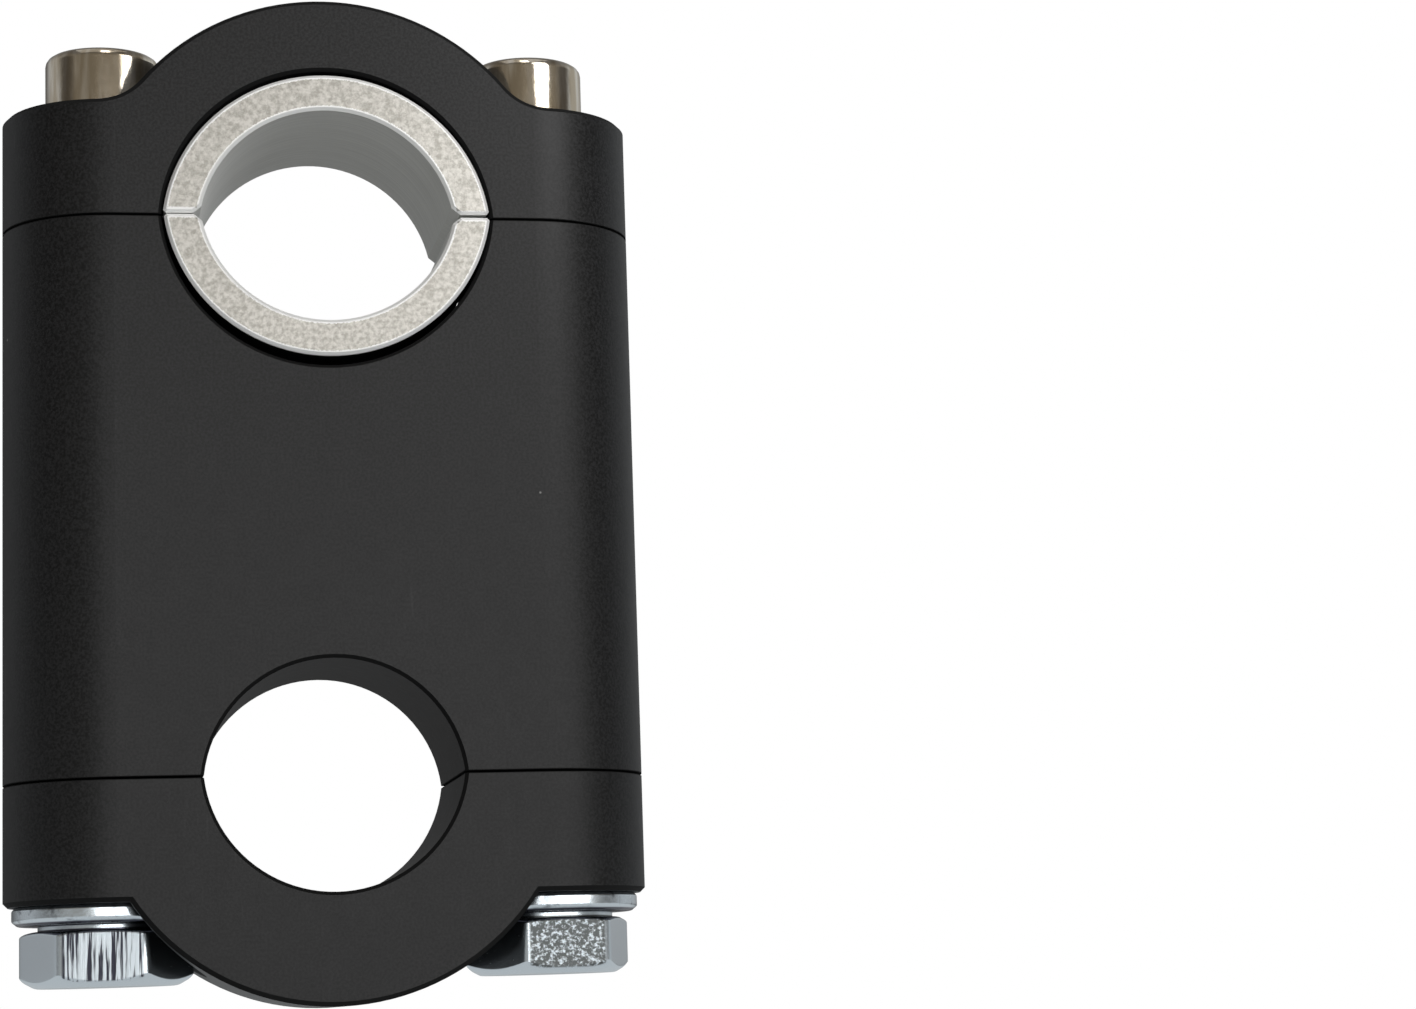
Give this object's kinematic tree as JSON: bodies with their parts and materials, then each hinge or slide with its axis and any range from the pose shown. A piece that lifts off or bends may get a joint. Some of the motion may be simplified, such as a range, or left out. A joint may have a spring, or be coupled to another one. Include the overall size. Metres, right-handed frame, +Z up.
{
  "type": "motorcycle bar riser",
  "caption": "Black block riser that lifts a motorcycle handlebar, with a bolted clamp cap at each end, a split reducer ring in the upper clamp and screw heads above and below.",
  "frame": {"origin": "axis of the block's lower half bore, half way through its depth: a bar clamped there lies on this axis", "axes": "+Z up, from the lower clamp to the upper one; +Y along the bars, away from the pictured front face; +X to the right seen from the front"},
  "size_m": [0.0556, 0.0198, 0.0874],
  "materials": {
    "anodised_black": "matte black anodised",
    "bare_aluminium": "satin, machined",
    "nickel_steel": "bright nickel plate",
    "zinc_steel": "bright zinc plate"
  },
  "bodies": {
    "root": {"riser_block": "anodised_black", "upper_cap": "anodised_black", "lower_cap": "anodised_black", "reducer_upper_half": "bare_aluminium", "reducer_lower_half": "bare_aluminium", "upper_screw_left": "nickel_steel", "upper_screw_right": "nickel_steel", "lower_bolt_left": "zinc_steel", "lower_bolt_right": "zinc_steel", "washer_left": "zinc_steel", "washer_right": "zinc_steel"}
  },
  "joints": []
}
